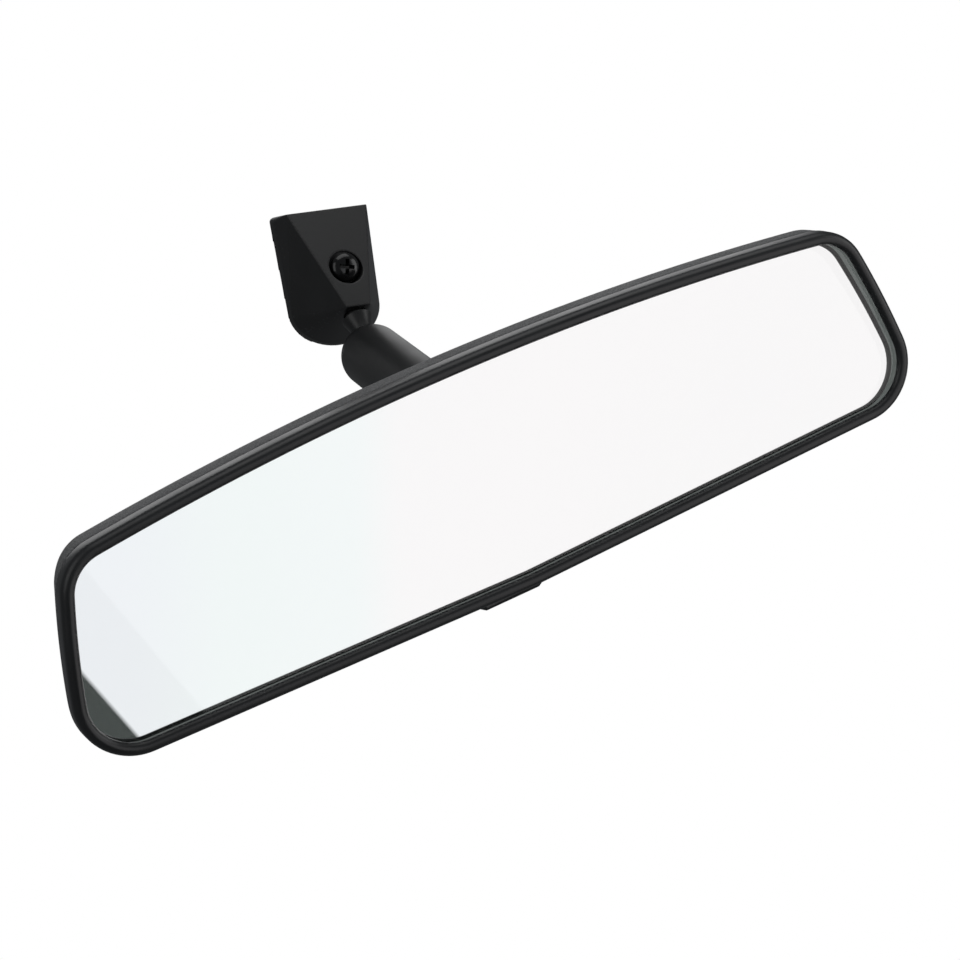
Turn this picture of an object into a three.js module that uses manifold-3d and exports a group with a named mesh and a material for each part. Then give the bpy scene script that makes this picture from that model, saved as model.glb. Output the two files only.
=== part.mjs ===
// Interior rearview mirror: windshield mount, double-ball arm and manual day/night prism head.
// Millimetres, +Z up, +Y into the windshield. The origin is the middle of the lower land of the
// mount's back face, where it rests beside the windshield button.
import * as THREE from 'three';
import { mergeVertices } from 'three/addons/utils/BufferGeometryUtils.js';
import { ConvexGeometry } from 'three/addons/geometries/ConvexGeometry.js';
import Module from 'manifold-3d';

const wasm = await Module();
wasm.setup();

// ---------- driving dimensions ----------
const GAP = 0.3; // clearance between touching pieces
const EPS = 0.5; // overshoot of cutting tools

// windshield mount
const MOUNT_HALF_W = 15.1;
const MOUNT_TOP = 21;
const MOUNT_CORNER_R = 1.6;
const MOUNT_LOW_HALF_W = 14.4;
const MOUNT_LOW_Z = -8;
const MOUNT_LOW_RISE = 11.4;
const MOUNT_RIM_T = 2.6;
const PLATEAU_TOP_HALF_W = 12.6;
const PLATEAU_TOP_Y = -9.4;
const PLATEAU_TOP_Z = 20.3;
const PLATEAU_LOW_HALF_W = 3.6;
const PLATEAU_LOW_Y = -22;
const PLATEAU_LOW_Z = -10;
const SEAT_POINT_Z = -13.5; // lower land of the back face, the origin of the part
const CHANNEL_MOUTH_HALF_W = 8.4;
const CHANNEL_FLOOR_HALF_W = 10.4;
const CHANNEL_DEPTH = 6.2;
const CHANNEL_END_Z = -8;

// clamp screw, along Y
const SCREW_Z = 2;
const SCREW_HEAD_R = 4.3;
const SCREW_HEAD_FRONT = -18.3;
const SCREW_HEAD_H = 2.8;
const SCREW_R = 2;
const SCREW_WELL_R = 5;
const SCREW_WELL_FLOOR = -14.3;
const WASHER_R = 4;
const WASHER_T = 0.6;
const CLAMP_PLATE_T = 0.8;
const CLAMP_PLATE_HALF = [6, 7];

// ball joints and arm
const BALL_R = 6;
const SEAT_T = 1.05;
const SEAT_RIM = THREE.MathUtils.degToRad(72); // stays clear of the lip when the shell tilts
const WAIST_R = 2.45; // where a neck leaves its ball
const NECK_R = 3.1;
const NECK_START = 9.6; // from the ball centre, where the neck reaches its full radius
const COLLAR_R = 4.5;
const COLLAR_END = 14; // from the ball centre, where the upper stud steps down to its tail
const TAIL_R = 3;
const TUBE_R = 9.25;
const TUBE_WALL = 1.6;
const TUBE_BORE_R = TUBE_R - TUBE_WALL;
const MOUTH_ANGLE = THREE.MathUtils.degToRad(64);
const LIP_ANGLE = THREE.MathUtils.degToRad(78); // where the rolled lip ends inside the bore
const ARM_LENGTH = 47.6;
const ARM_DOWN = THREE.MathUtils.degToRad(22.5);
const ARM_SIDE = THREE.MathUtils.degToRad(-0.9);
const STUD_DOWN = THREE.MathUtils.degToRad(57);
const UPPER_BALL = new THREE.Vector3(0, -26.35, -25.3); // in the mount's own frame
const STUD_BORE = [TAIL_R + GAP, 12.9, 24.3]; // radius, and distances from the ball centre
const SPRING_R = 4.7;
const SPRING_WIRE_R = 0.7;
const SPRING_TURNS = 5.5;
const CUP_T = 1.3;

// mirror head: x right, y back, z up, from the middle of the bezel's front plane
const HEAD_PITCH = THREE.MathUtils.degToRad(13.8);
const HEAD_ROLL = THREE.MathUtils.degToRad(-13.4);
const HEAD_BALL = new THREE.Vector3(0, 33.2, 13.5);
const TOP_Z = 32.93;
const TOP_CORNER = [117, 25];
const LOW_CORNER = [129.5, -30.4];
const LOW_CENTRE_Z = -33.52;
const SIDE_BULGE = 1.64;
const TOP_FILLET_R = 14.4;
const LOW_FILLET_R = 16.3;

const BEZEL_DEPTH = 6;
const BEZEL_ROUND = 1.8;
const BEZEL_WIDTH = 3.6;
const BEZEL_CHAMFER = 1;
const REBATE_INSET = 2.1;
const REBATE_FRONT = 2.1;
const GLASS_INSET = REBATE_INSET + GAP;
const GLASS_FRONT = REBATE_FRONT + GAP;
const GLASS_T_TOP = 5.5;
const GLASS_T_LOW = 2.2;
const COATING_T = 0.4;

const HOUSING_FRONT = BEZEL_DEPTH + GAP;
const HOUSING_BACK = 23.5;
const HOUSING_ROUND = 12;
const HOUSING_WALL = 2;
const HOUSING_HOLE_R = 9;
const RIB_R = 2.5;
const RIB_XS = [-100, -62, 62, 100];
const RIB_FRONT = 9.2;

// day/night mechanism
const BRACKET_Y = [13, 15];
const BRACKET_HALF_W = 15;
const HINGE = [14, 22]; // y, z of the bracket pin
const HINGE_EAR_R = 2.6;
const HINGE_EAR_HALF = 18;
const PIN_R = 1.2;
const LEVER_PIVOT = [13, -20]; // y, z of the lever pin
const LEVER_REST = THREE.MathUtils.degToRad(12);
const LEVER_TIP = 20.4;
const LEVER_NOSE = 6.4;
const LEVER_HALF_W = 10.5;
const TAB_X = -2.2; // middle of the finger tab, a little left of its pivot
const LEVER_T = 2.4;
const LEVER_HUB_R = 3.2;
const CARRIER_Y = [18.6, 21.2];
const CARRIER_WINDOW_R = 7.2;
const CARRIER_SCREWS = [[-20, 2], [20, 2]];

// ---------- materials ----------
const material = (color, roughness, metalness = 0) =>
  new THREE.MeshStandardMaterial({ color, roughness, metalness });
const castBlack = () => material(0x1b1c1e, 0.42, 0.1);
const tubeBlack = () => material(0x17181a, 0.38, 0.1);
const bezelBlack = () => material(0x202225, 0.4);
const grainedGrey = () => material(0x3a3c3e, 0.85);
const screwBlack = () => material(0x0d0e0f, 0.22, 0.6);
const steel = () => material(0xa7a9ac, 0.35, 0.9);
const nylon = () => material(0xd9d6cc, 0.55);
const carrierPlastic = () => material(0x2a2b2d, 0.6);
const clearGlass = () => material(0xdfeeea, 0.05);
const silver = () => material(0xf0f3f4, 0.06, 1);

// ---------- solids ----------
function solid(geometry) {
  geometry.deleteAttribute('normal');
  geometry.deleteAttribute('uv');
  const merged = mergeVertices(geometry, 1e-4);
  const vertProperties = new Float32Array(merged.attributes.position.array);
  const corners = merged.index.array;
  const triangles = [];
  for (let i = 0; i < corners.length; i += 3) {
    const [a, b, c] = [corners[i], corners[i + 1], corners[i + 2]];
    if (a !== b && b !== c && c !== a) triangles.push(a, b, c);
  }
  const triVerts = new Uint32Array(triangles);
  if (signedVolume(vertProperties, triVerts) < 0) triVerts.reverse();
  return new wasm.Manifold(new wasm.Mesh({ numProp: 3, vertProperties, triVerts }));
}

function signedVolume(positions, corners) {
  const point = (i) => new THREE.Vector3().fromArray(positions, 3 * corners[i]);
  let volume = 0;
  for (let i = 0; i < corners.length; i += 3) {
    volume += point(i).dot(point(i + 1).cross(point(i + 2))) / 6;
  }
  return volume;
}

function part(name, body, look) {
  const result = body.getMesh();
  const geometry = new THREE.BufferGeometry();
  geometry.setAttribute('position', new THREE.BufferAttribute(result.vertProperties, 3));
  geometry.setIndex(new THREE.BufferAttribute(result.triVerts, 1));
  geometry.computeVertexNormals();
  const mesh = new THREE.Mesh(geometry, look);
  mesh.name = name;
  return mesh;
}

const union = (first, ...others) => others.reduce((sum, next) => sum.add(next), first);
const minus = (first, ...cuts) => cuts.reduce((rest, cut) => rest.subtract(cut), first);

// box between two corners
function block(low, high) {
  const size = high.map((v, i) => v - low[i]);
  const geometry = new THREE.BoxGeometry(...size);
  geometry.translate(...high.map((v, i) => (v + low[i]) / 2));
  return solid(geometry);
}

// an outline in x and z, given thickness from yFront back to yBack
function plate(points, yFront, yBack, bevel = {}) {
  const settings = { depth: yBack - yFront, bevelEnabled: false, ...bevel };
  const geometry = new THREE.ExtrudeGeometry(new THREE.Shape(points), settings);
  geometry.rotateX(Math.PI / 2);
  geometry.translate(0, yBack, 0);
  return solid(geometry);
}

// the same with rounded edges front and back; the bevel grows out to the outline
function roundedPlate(insetOutline, inset, yFront, yBack, round, segments) {
  const bevel = {
    bevelEnabled: true,
    bevelThickness: round,
    bevelSize: round,
    bevelSegments: segments,
  };
  return plate(insetOutline(inset + round), yFront + round, yBack - round, bevel);
}

function orient(geometry, from, direction) {
  const turn = new THREE.Quaternion();
  turn.setFromUnitVectors(new THREE.Vector3(0, 1, 0), direction.clone().normalize());
  geometry.applyQuaternion(turn);
  geometry.translate(from.x, from.y, from.z);
  return geometry;
}

const AXIS_X = new THREE.Vector3(1, 0, 0);
const AXIS_Y = new THREE.Vector3(0, 1, 0);

// rod of radius r from a point along a direction, between two distances
function rod(r, from, direction, start, end, sides = 20) {
  const geometry = new THREE.CylinderGeometry(r, r, end - start, sides);
  geometry.translate(0, (start + end) / 2, 0);
  return solid(orient(geometry, from, direction));
}

// turned piece: profile of [radius, distance along the axis]
function turned(profile, from, direction, sides = 20) {
  const points = profile.map(([r, h]) => new THREE.Vector2(r, h));
  const geometry = new THREE.LatheGeometry(points, sides);
  return solid(orient(geometry, from, direction));
}

// points of a circle's arc about a height on the axis, angles from the +axis direction
function arcProfile(radius, height, startAngle, endAngle, steps) {
  const points = [];
  for (let i = 0; i <= steps; i += 1) {
    const angle = startAngle + ((endAngle - startAngle) * i) / steps;
    points.push([radius * Math.sin(angle), height + radius * Math.cos(angle)]);
  }
  return points;
}

// ---------- outlines ----------
const arcPoints = (cx, cy, rx, ry, start, end, steps) =>
  new THREE.EllipseCurve(cx, cy, rx, ry, start, end, end < start).getPoints(steps);

// shield outline of the mount, clockwise from its upper left
function mountOutline(inset) {
  const half = MOUNT_HALF_W - inset;
  const lowHalf = MOUNT_LOW_HALF_W - inset;
  const r = MOUNT_CORNER_R;
  const top = MOUNT_TOP - inset;
  const quarter = Math.PI / 2;
  return [
    ...arcPoints(-half + r, top - r, r, r, 2 * quarter, quarter, 3),
    ...arcPoints(half - r, top - r, r, r, quarter, 0, 3),
    ...arcPoints(0, MOUNT_LOW_Z, lowHalf, MOUNT_LOW_RISE - inset, 0, -2 * quarter, 16),
  ];
}

// crossing of two circles, taking the one with the larger x
function circlesCross(c1, r1, c2, r2) {
  const between = c2.clone().sub(c1);
  const d = between.length();
  const along = (r1 * r1 - r2 * r2 + d * d) / (2 * d);
  const across = Math.sqrt(r1 * r1 - along * along);
  const unit = between.divideScalar(d);
  const foot = c1.clone().addScaledVector(unit, along);
  const normal = new THREE.Vector2(-unit.y, unit.x);
  const first = foot.clone().addScaledVector(normal, across);
  const second = foot.clone().addScaledVector(normal, -across);
  return first.x > second.x ? first : second;
}

const sagittaRadius = (halfChord, rise) => (halfChord * halfChord + rise * rise) / (2 * rise);

// arcs of the head's right half, from the crown of the top edge down to the bottom centre
function headArcs() {
  const topR = sagittaRadius(TOP_CORNER[0], TOP_Z - TOP_CORNER[1]);
  const topCentre = new THREE.Vector2(0, TOP_Z - topR);
  const upper = new THREE.Vector2(...TOP_CORNER);
  const lower = new THREE.Vector2(...LOW_CORNER);
  const halfSide = upper.distanceTo(lower) / 2;
  const sideR = sagittaRadius(halfSide, SIDE_BULGE);
  const sideDir = lower.clone().sub(upper).normalize();
  const inward = new THREE.Vector2(sideDir.y, -sideDir.x);
  const sideCentre = upper.clone().add(lower).multiplyScalar(0.5);
  sideCentre.addScaledVector(inward, sideR - SIDE_BULGE);
  const bottomDir = lower.clone().sub(new THREE.Vector2(0, LOW_CENTRE_Z)).normalize();
  const bottomNormal = new THREE.Vector2(bottomDir.y, -bottomDir.x);
  const fillet1 = circlesCross(topCentre, topR - TOP_FILLET_R, sideCentre, sideR - TOP_FILLET_R);
  // centre of the lower fillet: on the bottom edge moved in, and inside the side arc
  const start = new THREE.Vector2(0, LOW_CENTRE_Z).addScaledVector(bottomNormal, -LOW_FILLET_R);
  const toCentre = start.clone().sub(sideCentre);
  const reach = sideR - LOW_FILLET_R;
  const b = toCentre.dot(bottomDir);
  const run = -b + Math.sqrt(b * b - toCentre.lengthSq() + reach * reach);
  const fillet2 = start.addScaledVector(bottomDir, run);
  const angleFrom = (centre, point) => Math.atan2(point.y - centre.y, point.x - centre.x);
  const a1 = angleFrom(topCentre, fillet1);
  const a2 = angleFrom(sideCentre, fillet1);
  const a3 = angleFrom(sideCentre, fillet2);
  const a4 = Math.atan2(bottomNormal.y, bottomNormal.x);
  return [
    { centre: topCentre, r: topR, from: Math.PI / 2, to: a1, steps: 7 },
    { centre: fillet1, r: TOP_FILLET_R, from: a1, to: a2, steps: 6 },
    { centre: sideCentre, r: sideR, from: a2, to: a3, steps: 3 },
    { centre: fillet2, r: LOW_FILLET_R, from: a3, to: a4, steps: 7 },
  ];
}

const HEAD_ARCS = headArcs();

function headOutline(inset) {
  const right = [];
  for (const { centre, r, from, to, steps } of HEAD_ARCS) {
    const arc = arcPoints(centre.x, centre.y, r - inset, r - inset, from, to, steps);
    right.push(...(right.length ? arc.slice(1) : arc));
  }
  right.push(new THREE.Vector2(0, LOW_CENTRE_Z + inset));
  const left = right.slice(1, -1).reverse().map((p) => new THREE.Vector2(-p.x, p.y));
  return [...right, ...left];
}

// ---------- windshield mount ----------
const UP_STUD_DIR = new THREE.Vector3(0, -Math.cos(STUD_DOWN), -Math.sin(STUD_DOWN));
const STUD_UP = UP_STUD_DIR.clone().negate();

function mountBase() {
  const outer = [];
  for (const p of mountOutline(0)) outer.push(new THREE.Vector3(p.x, 0, p.y));
  for (const p of mountOutline(0.4)) outer.push(new THREE.Vector3(p.x, -MOUNT_RIM_T, p.y));
  for (const side of [-1, 1]) {
    outer.push(new THREE.Vector3(side * PLATEAU_TOP_HALF_W, PLATEAU_TOP_Y, PLATEAU_TOP_Z));
    outer.push(new THREE.Vector3(side * PLATEAU_LOW_HALF_W, PLATEAU_LOW_Y, PLATEAU_LOW_Z));
  }
  const body = solid(new ConvexGeometry(outer));
  const channelShape = new THREE.Shape([
    new THREE.Vector2(-CHANNEL_MOUTH_HALF_W, EPS),
    new THREE.Vector2(-CHANNEL_FLOOR_HALF_W, -CHANNEL_DEPTH),
    new THREE.Vector2(CHANNEL_FLOOR_HALF_W, -CHANNEL_DEPTH),
    new THREE.Vector2(CHANNEL_MOUTH_HALF_W, EPS),
  ]);
  const channelLength = MOUNT_TOP + EPS - CHANNEL_END_Z;
  const channel = new THREE.ExtrudeGeometry(channelShape, {
    depth: channelLength,
    bevelEnabled: false,
  });
  channel.translate(0, 0, CHANNEL_END_Z);
  const screwLine = new THREE.Vector3(0, 0, SCREW_Z);
  return minus(
    body,
    solid(channel),
    rod(SCREW_WELL_R, screwLine, AXIS_Y, PLATEAU_LOW_Y - EPS, SCREW_WELL_FLOOR, 24),
    rod(SCREW_R + GAP, screwLine, AXIS_Y, SCREW_WELL_FLOOR - EPS, -CHANNEL_DEPTH + EPS, 16),
    rod(STUD_BORE[0], UPPER_BALL, STUD_UP, STUD_BORE[1], STUD_BORE[2], 16),
  );
}

function clampScrew() {
  const headBack = SCREW_HEAD_FRONT + SCREW_HEAD_H;
  const tip = -CHANNEL_DEPTH - 0.1;
  const profile = [
    [0, SCREW_HEAD_FRONT],
    [1.6, SCREW_HEAD_FRONT + 0.2],
    [2.9, SCREW_HEAD_FRONT + 0.8],
    [SCREW_HEAD_R, SCREW_HEAD_FRONT + 1.9],
    [SCREW_HEAD_R, headBack],
    [SCREW_R, headBack],
    [SCREW_R, tip - 0.6],
    [SCREW_R - 0.6, tip],
    [0, tip],
  ];
  const body = turned(profile, new THREE.Vector3(0, 0, SCREW_Z), AXIS_Y, 20);
  const crossFront = SCREW_HEAD_FRONT - EPS;
  const crossBack = SCREW_HEAD_FRONT + 1.7;
  return minus(
    body,
    block([-0.5, crossFront, SCREW_Z - 2.2], [0.5, crossBack, SCREW_Z + 2.2]),
    block([-2.2, crossFront, SCREW_Z - 0.5], [2.2, crossBack, SCREW_Z + 0.5]),
  );
}

// split spring ring under the screw head
function screwWasher() {
  const back = SCREW_WELL_FLOOR - GAP;
  const line = new THREE.Vector3(0, 0, SCREW_Z);
  const ring = minus(
    rod(WASHER_R, line, AXIS_Y, back - WASHER_T, back, 20),
    rod(SCREW_R + GAP, line, AXIS_Y, back - 2, back + 1, 16),
  );
  return minus(ring, block([0, back - 2, SCREW_Z - 0.3], [WASHER_R + 1, back + 1, SCREW_Z + 0.3]));
}

// flat steel pad that the screw presses against the button
function clampPlate() {
  const front = -CHANNEL_DEPTH + GAP;
  const [halfX, halfZ] = CLAMP_PLATE_HALF;
  const low = [-halfX, front, SCREW_Z - halfZ];
  const high = [halfX, front + CLAMP_PLATE_T, SCREW_Z + halfZ];
  return block(low, high);
}

// ball on a neck; the profile starts at the ball's far pole and runs up the neck
function ballStud(neckProfile) {
  const neckAngle = Math.PI - Math.asin(WAIST_R / BALL_R);
  const ball = arcProfile(BALL_R, 0, 0, neckAngle, 9).map(([r, h]) => [r, -h]);
  ball[0][0] = 0;
  return [...ball, [NECK_R, NECK_START], ...neckProfile];
}

function upperBallStud() {
  const end = STUD_BORE[2] - GAP;
  const profile = ballStud([
    [COLLAR_R, COLLAR_END],
    [TAIL_R, COLLAR_END],
    [TAIL_R, end - 0.6],
    [TAIL_R - 0.6, end],
    [0, end],
  ]);
  return turned(profile, UPPER_BALL, STUD_UP);
}

// ---------- arm, built along +Y from the upper ball centre ----------
// a rolled lip at each mouth holds the ball; behind it the bore takes the nylon shell
function armTube() {
  const side = Math.PI / 2;
  const lipR = BALL_R + GAP;
  const end = [
    ...arcProfile(TUBE_R, 0, side, MOUTH_ANGLE, 5),
    ...arcProfile(lipR, 0, MOUTH_ANGLE, LIP_ANGLE, 3),
    [TUBE_BORE_R, lipR * Math.cos(LIP_ANGLE)],
  ];
  const far = end.map(([r, h]) => [r, ARM_LENGTH + h]);
  const near = end.map(([r, h]) => [r, -h]).reverse();
  const profile = [...far, ...near];
  profile.push([...profile[0]]);
  return turned(profile, new THREE.Vector3(), AXIS_Y, 24);
}

// nylon shell on the inner side of a ball; `inward` is +1 at the upper ball, -1 at the lower
function ballSeat(centreHeight, inward) {
  const inner = BALL_R + GAP;
  const outer = inner + SEAT_T;
  const hole = THREE.MathUtils.degToRad(24);
  const profile = [
    ...arcProfile(outer, 0, hole, SEAT_RIM, 6),
    ...arcProfile(inner, 0, SEAT_RIM, hole, 6),
  ];
  profile.push([...profile[0]]);
  const placed = profile.map(([r, h]) => [r, centreHeight + inward * h]);
  return turned(placed, new THREE.Vector3(), AXIS_Y, 20);
}

// dished steel cup between the nylon shell and the spring
function pressureCup(centreHeight, inward) {
  const dish = BALL_R + 2 * GAP + SEAT_T;
  const hole = THREE.MathUtils.degToRad(24);
  const rim = THREE.MathUtils.degToRad(62);
  const back = dish + CUP_T;
  const edge = dish * Math.sin(rim);
  const profile = [
    ...arcProfile(dish, 0, hole, rim, 5),
    [edge + GAP, dish * Math.cos(rim)],
    [edge + GAP, back],
    [dish * Math.sin(hole), back],
  ];
  profile.push([...profile[0]]);
  const placed = profile.map(([r, h]) => [r, centreHeight + inward * h]);
  return turned(placed, new THREE.Vector3(), AXIS_Y, 20);
}

class HelixCurve extends THREE.Curve {
  constructor(radius, start, end, turns) {
    super();
    Object.assign(this, { radius, start, end, turns });
  }

  getPoint(t, target = new THREE.Vector3()) {
    const angle = 2 * Math.PI * this.turns * t;
    const height = this.start + (this.end - this.start) * t;
    return target.set(this.radius * Math.cos(angle), height, this.radius * Math.sin(angle));
  }
}

function armSpring() {
  const endRoom = BALL_R + 2 * GAP + SEAT_T + CUP_T + GAP + SPRING_WIRE_R;
  const path = new HelixCurve(SPRING_R, endRoom, ARM_LENGTH - endRoom, SPRING_TURNS);
  const section = new THREE.Shape(arcPoints(0, 0, SPRING_WIRE_R, SPRING_WIRE_R, 0, 2 * Math.PI, 6));
  const steps = Math.round(11 * SPRING_TURNS);
  return solid(new THREE.ExtrudeGeometry(section, { steps, extrudePath: path }));
}

// ---------- mirror head ----------
function bezel() {
  const body = roundedPlate(headOutline, 0, 0, BEZEL_DEPTH + BEZEL_ROUND, BEZEL_ROUND, 4);
  const behind = block([-200, BEZEL_DEPTH, -100], [200, BEZEL_DEPTH + 10, 100]);
  const opening = plate(headOutline(BEZEL_WIDTH), -EPS, BEZEL_DEPTH + EPS);
  const chamfer = plate(headOutline(BEZEL_WIDTH), -3, 0, {
    bevelEnabled: true,
    bevelThickness: BEZEL_CHAMFER,
    bevelSize: BEZEL_CHAMFER,
    bevelSegments: 1,
  });
  const rebate = plate(headOutline(REBATE_INSET), REBATE_FRONT, BEZEL_DEPTH + EPS);
  return minus(body, behind, opening, chamfer, rebate);
}

// thickness of the prism's wedge at a height
const wedge = (z) =>
  GLASS_T_LOW + ((GLASS_T_TOP - GLASS_T_LOW) * (z - LOW_CENTRE_Z)) / (TOP_Z - LOW_CENTRE_Z);

// everything in front of the prism's slanting back face, moved back by `offset`
function wedgeTool(offset) {
  const zs = [LOW_CENTRE_Z - 5, TOP_Z + 5];
  const back = zs.map((z) => GLASS_FRONT + wedge(z) + offset);
  const profile = new THREE.Shape([
    new THREE.Vector2(-10, zs[0]),
    new THREE.Vector2(back[0], zs[0]),
    new THREE.Vector2(back[1], zs[1]),
    new THREE.Vector2(-10, zs[1]),
  ]);
  const geometry = new THREE.ExtrudeGeometry(profile, { depth: 400, bevelEnabled: false });
  // profile x -> y, profile y -> z, depth -> x
  const swap = new THREE.Matrix4().set(0, 0, 1, -200, 1, 0, 0, 0, 0, 1, 0, 0, 0, 0, 0, 1);
  geometry.applyMatrix4(swap);
  return solid(geometry);
}

function prismGlass() {
  const blank = plate(headOutline(GLASS_INSET), GLASS_FRONT, GLASS_FRONT + 12);
  return blank.intersect(wedgeTool(0));
}

function mirrorCoating() {
  const blank = plate(headOutline(GLASS_INSET + 0.2), GLASS_FRONT, GLASS_FRONT + 12);
  return blank.intersect(wedgeTool(GAP + COATING_T)).subtract(wedgeTool(GAP));
}

function rearHousing() {
  const front = HOUSING_FRONT;
  const whole = (inset, back) => {
    const yFront = front - HOUSING_ROUND;
    return roundedPlate(headOutline, inset, yFront, back, HOUSING_ROUND - inset, 4);
  };
  const ahead = block([-200, -60, -100], [200, front, 100]);
  const shell = minus(
    whole(0, HOUSING_BACK),
    ahead,
    whole(HOUSING_WALL, HOUSING_BACK - HOUSING_WALL),
    plate(headOutline(HOUSING_WALL), front - EPS, front + EPS),
  );
  const ballLine = new THREE.Vector3(0, 0, HEAD_BALL.z);
  const holes = [rod(HOUSING_HOLE_R, ballLine, AXIS_Y, 15, HOUSING_BACK + EPS, 24)];
  for (const [x, z] of CARRIER_SCREWS) {
    holes.push(rod(1.5, new THREE.Vector3(x, 0, z), AXIS_Y, 15, HOUSING_BACK + EPS, 12));
  }
  const slotHalf = LEVER_HALF_W + 0.8;
  const leverSlot = block([TAB_X - slotHalf, 8.2, -40], [TAB_X + slotHalf, 18.5, -27]);
  const ribs = [];
  for (const x of RIB_XS) {
    const foot = new THREE.Vector3(x, 0, 0);
    ribs.push(rod(RIB_R, foot, AXIS_Y, RIB_FRONT, HOUSING_BACK - 1, 10));
  }
  return minus(union(shell, ...ribs), ...holes, leverSlot);
}

// ---------- ball stud and day/night mechanism ----------
// lower stud: from the ball forward to the bracket; distances are measured from the ball
function lowerBallStud() {
  const at = (y) => HEAD_BALL.y - y;
  const flangeBack = BRACKET_Y[1] + GAP + 2;
  const flangeFront = BRACKET_Y[1] + GAP;
  const profile = ballStud([
    [NECK_R, at(flangeBack)],
    [5.5, at(flangeBack)],
    [5.5, at(flangeFront)],
    [3, at(flangeFront)],
    [3, at(BRACKET_Y[0] - 1.8)],
    [0, at(BRACKET_Y[0] - 1.8)],
  ]);
  return turned(profile, HEAD_BALL, new THREE.Vector3(0, -1, 0));
}

// toothed ring pressed on the stud's tail
function studPushNut() {
  const line = new THREE.Vector3(0, 0, HEAD_BALL.z);
  const back = BRACKET_Y[0] - GAP;
  const outer = rod(5.6, line, AXIS_Y, back - 0.9, back, 12);
  return outer.subtract(rod(3 + GAP, line, AXIS_Y, back - 2, back + 1, 16));
}

function pivotBracket() {
  const [front, back] = BRACKET_Y;
  const hinge = new THREE.Vector3(0, ...HINGE);
  const plateTop = HINGE[1] - 1;
  const body = union(
    block([-BRACKET_HALF_W, front, -9], [BRACKET_HALF_W, back, plateTop]),
    rod(HINGE_EAR_R, hinge, AXIS_X, -HINGE_EAR_HALF, HINGE_EAR_HALF, 16),
    block([-4, 8.9, -16], [4, back - 0.9, -8.5]),
  );
  const studLine = new THREE.Vector3(0, 0, HEAD_BALL.z);
  return minus(
    body,
    rod(PIN_R + GAP, hinge, AXIS_X, -30, 30, 12),
    rod(3 + GAP, studLine, AXIS_Y, front - 1, back + 1, 16),
    block([-5, 10, -18], [5, 13.4, -12]),
  );
}

const bracketPin = () => rod(PIN_R, new THREE.Vector3(0, ...HINGE), AXIS_X, -21.8, 21.8, 12);
const leverPin = () => rod(1.1, new THREE.Vector3(0, ...LEVER_PIVOT), AXIS_X, -11, 11, 12);

function toggleCarrier() {
  const [front, back] = CARRIER_Y;
  const body = [block([-24, front, -22.5], [24, back, 22])];
  for (const side of [-1, 1]) {
    const lug = (x0, x1, y0, z0, z1) => {
      const xs = [side * x0, side * x1].sort((a, b) => a - b);
      body.push(block([xs[0], y0, z0], [xs[1], front + 0.5, z1]));
    };
    lug(18.6, 21.4, 11, HINGE[1] - 3, HINGE[1] + 3);
    lug(7.6, 10.6, 10.2, -22.5, -17);
  }
  const studLine = new THREE.Vector3(0, 0, HEAD_BALL.z);
  const cuts = [
    rod(CARRIER_WINDOW_R, studLine, AXIS_Y, 10, 30, 24),
    rod(PIN_R + GAP, new THREE.Vector3(0, ...HINGE), AXIS_X, -30, 30, 12),
    rod(1.1 + GAP, new THREE.Vector3(0, ...LEVER_PIVOT), AXIS_X, -30, 30, 12),
  ];
  for (const [x, z] of CARRIER_SCREWS) {
    cuts.push(rod(1.5, new THREE.Vector3(x, 0, z), AXIS_Y, 10, 30, 12));
  }
  return minus(union(...body), ...cuts);
}

function carrierScrew([x, z]) {
  const seat = CARRIER_Y[0] - GAP;
  const profile = [
    [0, seat - 1.6],
    [1.4, seat - 1.5],
    [2.4, seat - 0.8],
    [2.5, seat],
    [1.2, seat],
    [1.2, HOUSING_BACK - 0.8],
    [0, HOUSING_BACK],
  ];
  const body = turned(profile, new THREE.Vector3(x, 0, z), AXIS_Y, 14);
  const top = seat - 2;
  return minus(
    body,
    block([x - 0.3, top, z - 1.4], [x + 0.3, top + 1.2, z + 1.4]),
    block([x - 1.4, top, z - 0.3], [x + 1.4, top + 1.2, z + 0.3]),
  );
}

// bent leaf that snaps the lever to one side or the other
function toggleSpring() {
  const path = new THREE.QuadraticBezierCurve(
    new THREE.Vector2(17.9, -6.5),
    new THREE.Vector2(17.2, -15),
    new THREE.Vector2(17.6, -23),
  );
  const half = 0.22;
  const front = path.getPoints(8);
  const back = front.map((p) => new THREE.Vector2(p.x + 2 * half, p.y)).reverse();
  const shape = new THREE.Shape([...front, ...back]);
  const geometry = new THREE.ExtrudeGeometry(shape, { depth: 6, bevelEnabled: false });
  const swap = new THREE.Matrix4().set(0, 0, 1, -3, 1, 0, 0, 0, 0, 1, 0, 0, 0, 0, 0, 1);
  geometry.applyMatrix4(swap);
  return solid(geometry);
}

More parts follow.
